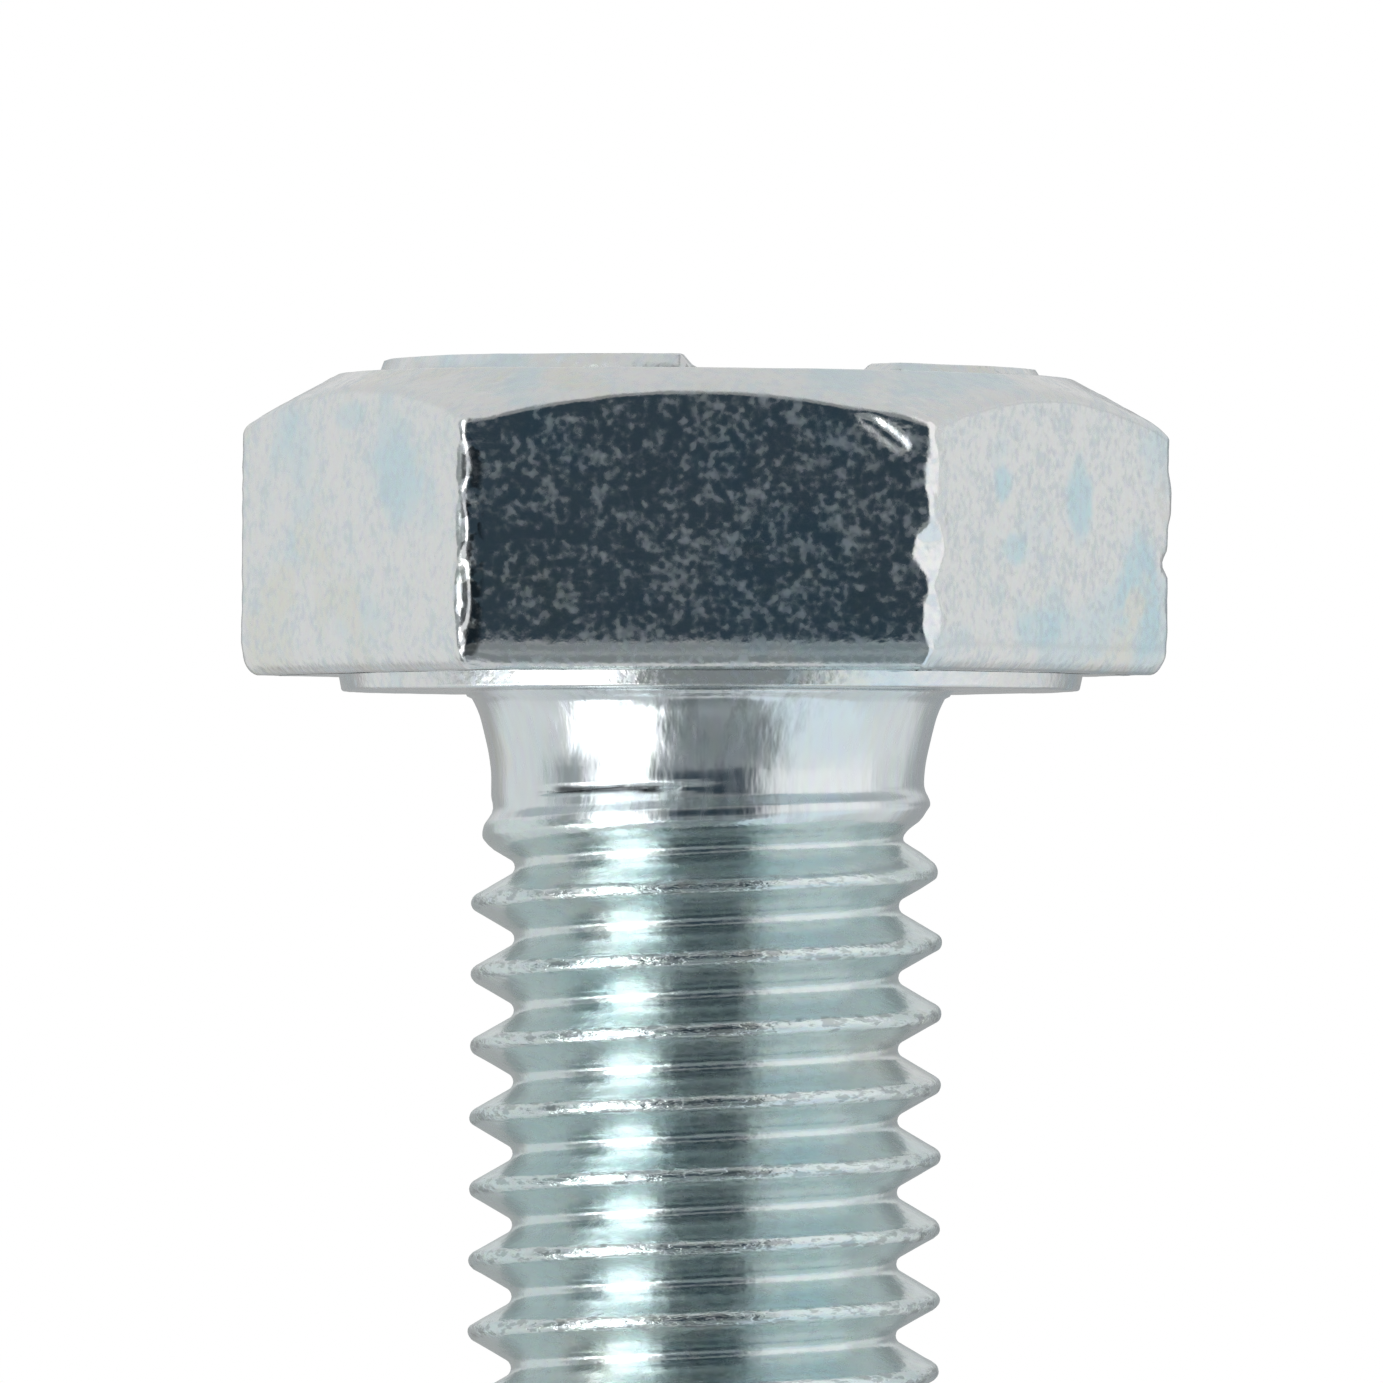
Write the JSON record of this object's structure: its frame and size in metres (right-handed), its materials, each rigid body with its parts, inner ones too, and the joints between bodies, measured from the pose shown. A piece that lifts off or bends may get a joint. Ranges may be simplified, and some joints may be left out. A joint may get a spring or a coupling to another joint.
{
  "type": "hex bolt",
  "caption": "Hexagon head screw with a chamfered head, a forged washer face and a coarse metric thread up to a short plain neck, in bright zinc plated steel.",
  "frame": {"origin": "on the bolt's axis, in the plane of the bearing face under the head", "axes": "+Z along the axis, from the tip towards the head; two of the spanner flats face -Y and +Y"},
  "size_m": [0.0194, 0.0168, 0.0369],
  "materials": {
    "zinc_plated_steel": "bright zinc plate with a faint blue passivation, over cold forged and thread rolled steel"
  },
  "bodies": {
    "root": {"hex_bolt": "zinc_plated_steel"}
  },
  "joints": []
}
